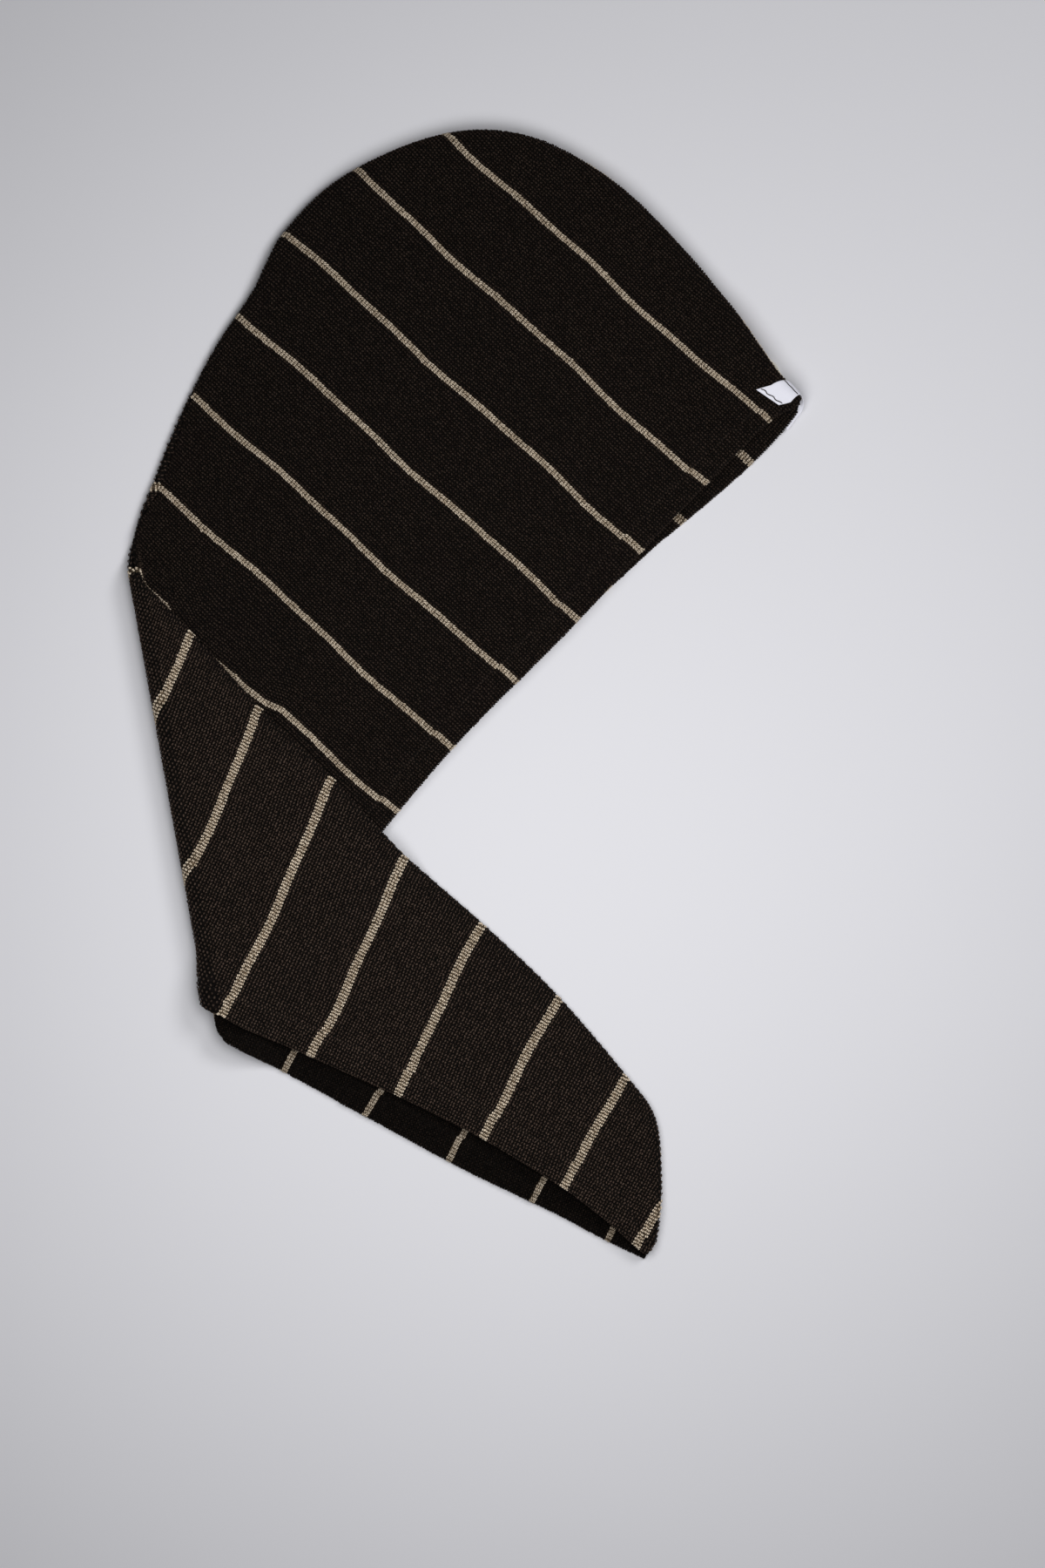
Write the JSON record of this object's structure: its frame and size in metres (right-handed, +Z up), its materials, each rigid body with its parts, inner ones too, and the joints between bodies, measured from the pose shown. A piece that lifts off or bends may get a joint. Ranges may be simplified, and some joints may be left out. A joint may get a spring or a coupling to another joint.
{
  "type": "hair turban towel",
  "caption": "Soft striped terry hair turban lying flat, its tapering tail folded back over the hood, with a woven label and a button at the nape.",
  "frame": {"origin": "centre of the bounding box, on the surface that the towel lies on", "axes": "+Z up from the surface; +Y along the longest side, towards the crown; +X towards the nape"},
  "size_m": [0.3312, 0.5534, 0.02],
  "materials": {
    "terry": "matte",
    "tape": "matte",
    "button": "gloss",
    "thread": "matte",
    "elastic": "matte"
  },
  "bodies": {
    "root": {"upper_panel": "terry", "lower_panel": "terry", "label": "tape", "button": "button", "button_thread": "thread", "button_loop": "elastic"}
  },
  "joints": []
}
